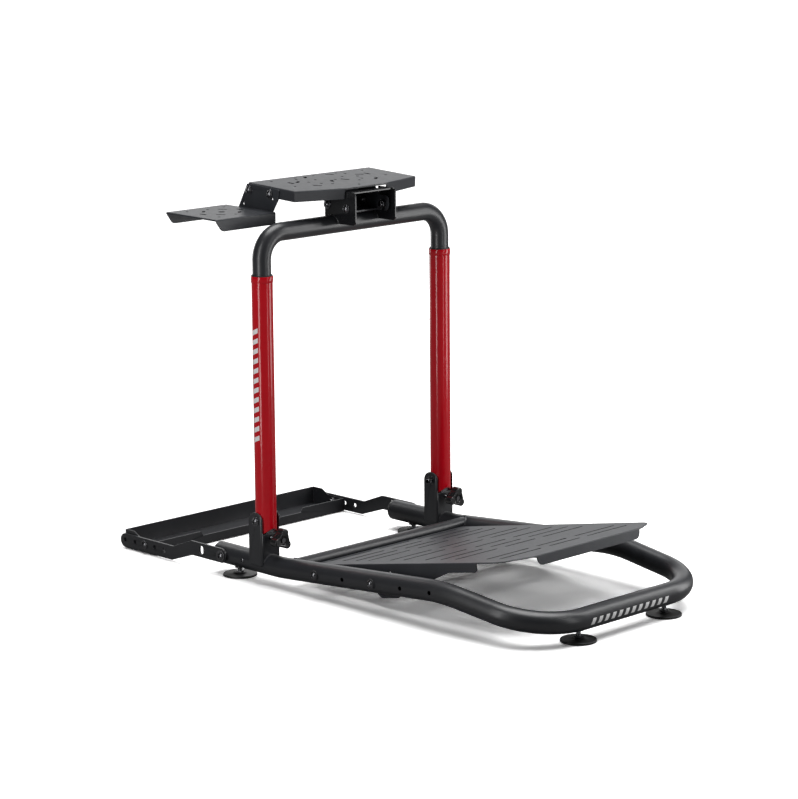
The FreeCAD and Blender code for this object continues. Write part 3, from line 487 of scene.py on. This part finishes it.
def stem_threads():
    """Threads on the front feet's stems, between nut and rail, and on the knob studs."""
    for foot in FEET[2:]:
        middle = centre("foot_stem_" + foot)
        stem_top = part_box("foot_stem_" + foot)[1].z
        low = Vector((middle.x, middle.y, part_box("foot_pad_" + foot)[1].z + 2.6 * MM))
        high = Vector((middle.x, middle.y, stem_top - 22 * MM))
        make_piece("thread_foot_" + foot, *thread(low, high), "black_bolt_steel", "foot_" + foot,
                   "black_bolt_steel")
    for _, name in SIDES:
        low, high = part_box("knob_stud_" + name)
        x, z = (low.x + high.x) / 2, (low.z + high.z) / 2
        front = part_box("pivot_bracket_" + name)[1].y
        run = thread(Vector((x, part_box("knob_" + name)[0].y + 1 * MM, z)), Vector((x, front + 0.6 * MM, z)))
        make_piece("thread_knob_" + name, *run, "black_bolt_steel", "lock_knob_" + name, "black_bolt_steel")


# ---------------------------------------------------------------- turned feet
def foot_pads():
    """Moulded pads: a ribbed rim, a shallow dish with a rolled edge and a collar round the stem."""
    profile = [(27.0, 0.9), (28.2, 0.0), (30.0, 0.0), (30.8, 0.35), (31.0, 1.0), (30.75, 1.5), (31.0, 2.0),
               (30.9, 3.1), (30.4, 3.75), (29.6, 4.0), (28.4, 4.0), (27.7, 3.7), (26.8, 3.6), (16.0, 4.1),
               (13.6, 4.5), (12.2, 5.2), (10.8, 6.1), (9.6, 6.45), (8.4, 6.5), (7.5, 6.2), (6.8, 5.4),
               (4.4, 5.3), (4.4, 0.9)]
    steps = 128
    for foot in FEET:
        middle = centre("foot_pad_" + foot)
        rings = []
        for k in range(steps):
            turn = 2 * math.pi * k / steps
            rings.append([Vector((middle.x + r * MM * math.cos(turn), middle.y + r * MM * math.sin(turn),
                                  z * MM)) for r, z in profile])
        vertices, faces = skin(rings, True)
        pad = make_piece("pad_" + foot, vertices, faces, "foot_rubber", "foot_" + foot, "foot_rubber")
        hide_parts("foot_pad_" + foot)


# ---------------------------------------------------------------- hand knobs
KNOB_WAIST = 13.0
KNOB_ROWS = (  # distance from the back, inset from the outline, share of the three-lobed outline
    (0.0, 1.4, 0.0), (0.7, 0.4, 0.0), (1.6, 0.0, 0.0), (6.2, 0.0, 0.0), (6.9, 0.2, 0.10),
    (7.2, 2.6, 1.0), (7.4, 0.9, 1.0), (7.8, 0.35, 1.0), (8.5, 0.0, 1.0), (13.0, 0.1, 1.0),
    (17.0, 0.1, 1.0), (21.4, 0.0, 1.0), (22.2, 0.3, 1.0), (22.7, 0.9, 1.0), (23.0, 1.8, 1.0),
    (22.9, 3.4, 1.0), (22.5, 5.0, 0.6), (22.4, 1.2, 0.0), (22.0, 2.6, 0.0), (20.2, 3.0, 0.0),
    (20.0, 4.0, 0.0))
KNOB_STEPS, KNOB_ORBIT, KNOB_LOBE, KNOB_NECK = 120, 13.0, 7.5, 9.0
FIRST_LOBE = 106                              # degrees


def lobed(turn):
    """Radius of the three-lobed outline at an angle: round lobes joined by nearly flat flanks."""
    away = abs((math.degrees(turn) - FIRST_LOBE + 60) % 120 - 60)
    a = math.radians(away)
    sine = KNOB_ORBIT * math.sin(a)
    lobe = KNOB_ORBIT * math.cos(a) + math.sqrt(max(0.0, KNOB_LOBE ** 2 - sine ** 2))
    waist = KNOB_WAIST / math.cos(math.radians(60 - away))
    mix = min(1.0, max(0.0, (away - 22) / 16))
    mix = mix * mix * (3 - 2 * mix)
    return lobe * (1 - mix) + min(waist, lobe + 9) * mix


def knobs():
    """The knobs turned about Y: a round neck at the back, three lobes, and a dished middle."""
    for _, name in SIDES:
        low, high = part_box("knob_stud_" + name)
        x, z = (low.x + high.x) / 2, (low.z + high.z) / 2
        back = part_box("knob_" + name)[0].y
        rings = []
        for away, inset, share in KNOB_ROWS:
            y = back + away * MM
            ring = []
            for k in range(KNOB_STEPS):
                turn = 2 * math.pi * k / KNOB_STEPS
                reach = (KNOB_NECK * (1 - share) + lobed(turn) * share - inset) * MM
                ring.append(Vector((x + reach * math.cos(turn), y, z + reach * math.sin(turn))))
            rings.append(ring)
        vertices, faces = skin([list(reversed(ring)) for ring in rings])
        knob = make_piece("hand_knob_" + name, vertices, faces, "black_plastic", "lock_knob_" + name,
                          "black_plastic")
        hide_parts("knob_" + name)


# ---------------------------------------------------------------- plain printed bars
def bar_print(name, body, cylinder, start, count, pitch, dash, width, lean):
    """A row of plain slanted bars wrapped on a tube; cylinder(along, across, lift) gives a place on it."""
    parts = []
    skin_low, skin_high = 0.04 * MM, 0.16 * MM
    for n in range(count):
        rows = []
        steps = 9
        for k in range(steps + 1):
            across = (k / steps - 0.5) * width
            shift = start + n * pitch + across * lean
            rows.append([cylinder(shift, across, skin_low), cylinder(shift + dash, across, skin_low),
                         cylinder(shift + dash, across, skin_high), cylinder(shift, across, skin_high)])
        parts.append(skin(rows))
    make_piece(name, *merge(parts), "white_print", body, smooth=False)


def prints():
    def on_upright(along, across, lift):
        turn = across / UPRIGHT_R
        reach = UPRIGHT_R + lift
        return Vector((HALF + reach * math.cos(turn), reach * math.sin(turn), along))

    def on_front_bar(along, across, lift):
        turn = math.radians(-6) + across / RAIL_R
        reach = RAIL_R + lift
        return Vector((-along, FRONT_BAR_Y + reach * math.cos(turn), FRONT_BAR_Z + reach * math.sin(turn)))

    bars, lean = 12, 0.45
    bar_print("print_upright", "uprights", on_upright, 260 * MM, bars, 17.4 * MM, 8.6 * MM, 13 * MM, lean)
    bar_print("print_front_bar", "base_frame", on_front_bar, -103 * MM, bars, 16.6 * MM, 8.4 * MM, 11 * MM,
              lean)


make_camera()
make_light()
make_floor()
dress_frame()
cross_tube_welds()
bracket_welds()
cradle_welds()
hanger_welds()
boss_welds()
bolt_threads()
stem_threads()
foot_pads()
knobs()
prints()
SCENE.view_settings.view_transform = "Standard"
